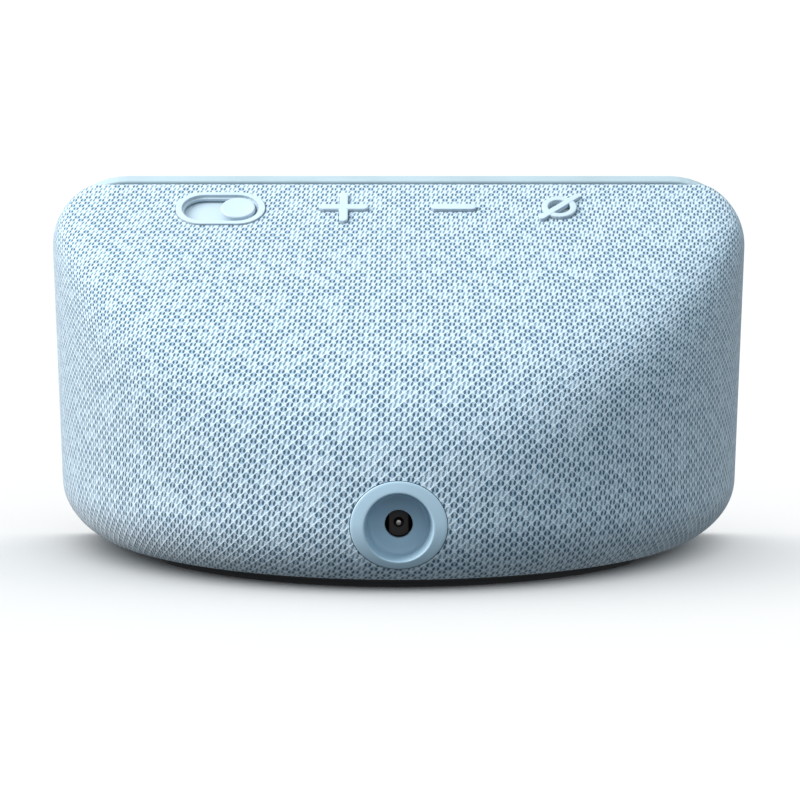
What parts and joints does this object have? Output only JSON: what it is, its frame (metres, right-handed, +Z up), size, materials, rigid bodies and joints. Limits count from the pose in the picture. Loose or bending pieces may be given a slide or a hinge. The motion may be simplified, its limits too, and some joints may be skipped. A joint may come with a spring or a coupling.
{
  "type": "smart speaker",
  "caption": "Table smart speaker with a leaning screen, a fabric-covered wedge body, a camera shutter slider, keys and a round power inlet at the rear.",
  "frame": {"origin": "centre of the bounding box on the table plane", "axes": "+Z up, +X across the screen, the screen faces -Y and the controls and the power inlet face +Y"},
  "size_m": [0.147, 0.091, 0.0799],
  "materials": {
    "fabric_blue": "open spacer knit",
    "shell_blue": "fine satin moulding",
    "key_blue": "fine satin moulding",
    "shell_grey": "moulded",
    "rubber_black": "matt",
    "plastic_black": "satin",
    "glass_black": "polished, printed black behind",
    "lens_glass": "polished",
    "diffuser": "translucent",
    "board_green": "solder mask",
    "steel": "plain",
    "nickel": "nickel plated",
    "aluminium": "rolled",
    "paper_cone": "pressed pulp",
    "ferrite": "sintered",
    "copper": "enamelled wire",
    "pad_grey": "soft",
    "film_amber": "film",
    "wire_red": "insulation",
    "wire_black": "insulation"
  },
  "bodies": {
    "speaker_body": {"fabric_cover": "fabric_blue", "rear_housing": "shell_grey", "front_frame": "shell_blue", "jack_ring": "shell_blue", "cover_glass": "glass_black", "display_panel": "plastic_black", "backlight_tray": "steel", "inner_chassis": "shell_grey", "camera_module": "plastic_black", "camera_lens": "lens_glass", "shutter_bezel": "key_blue", "button_board": "board_green", "switch_plus": "plastic_black", "switch_minus": "plastic_black", "switch_mic_off": "plastic_black", "microphone_left": "nickel", "microphone_right": "nickel", "button_flex": "film_amber", "display_flex": "film_amber", "main_board": "board_green", "shield_can": "nickel", "thermal_pad": "pad_grey", "heat_spreader": "aluminium", "radio_module": "nickel", "amplifier_chip": "plastic_black", "speaker_wire_red": "wire_red", "speaker_wire_black": "wire_black", "dc_socket": "plastic_black", "socket_pin": "nickel", "speaker_basket": "shell_grey", "speaker_magnet": "ferrite", "speaker_surround": "rubber_black", "speaker_spider": "film_amber", "speaker_enclosure": "shell_grey", "base_plate": "plastic_black", "rubber_foot": "rubber_black", "base_screw_1": "steel", "base_screw_2": "steel", "base_screw_3": "steel", "base_screw_4": "steel", "board_screw_1": "steel", "board_screw_2": "steel", "board_screw_3": "steel"},
    "shutter": {"shutter_knob": "key_blue", "shutter_blade": "plastic_black"},
    "plus_key": {"plus_button": "key_blue"},
    "minus_key": {"minus_button": "key_blue"},
    "mic_off_key": {"mic_off_button": "key_blue", "mic_light_guide": "diffuser"},
    "cone": {"speaker_cone": "paper_cone", "dust_cap": "paper_cone", "voice_coil": "copper"}
  },
  "joints": [
    {"name": "shutter_slide", "type": "slide", "parent": "speaker_body", "child": "shutter", "axis": [1, 0, 0], "range_m": [0, 0.0074]},
    {"name": "plus_press", "type": "slide", "parent": "speaker_body", "child": "plus_key", "axis": [0, -0.5569, -0.8306], "range_m": [0, 0.0005], "stiffness_N_per_m": 1500},
    {"name": "minus_press", "type": "slide", "parent": "speaker_body", "child": "minus_key", "axis": [0, -0.5569, -0.8306], "range_m": [0, 0.0005], "stiffness_N_per_m": 1500},
    {"name": "mic_off_press", "type": "slide", "parent": "speaker_body", "child": "mic_off_key", "axis": [0, -0.5569, -0.8306], "range_m": [0, 0.0005], "stiffness_N_per_m": 1500},
    {"name": "cone_stroke", "type": "slide", "parent": "speaker_body", "child": "cone", "axis": [0, 0.6157, 0.788], "range_m": [-0.0012, 0.0012], "stiffness_N_per_m": 1500, "deforming": ["speaker_surround", "speaker_spider"]}
  ]
}
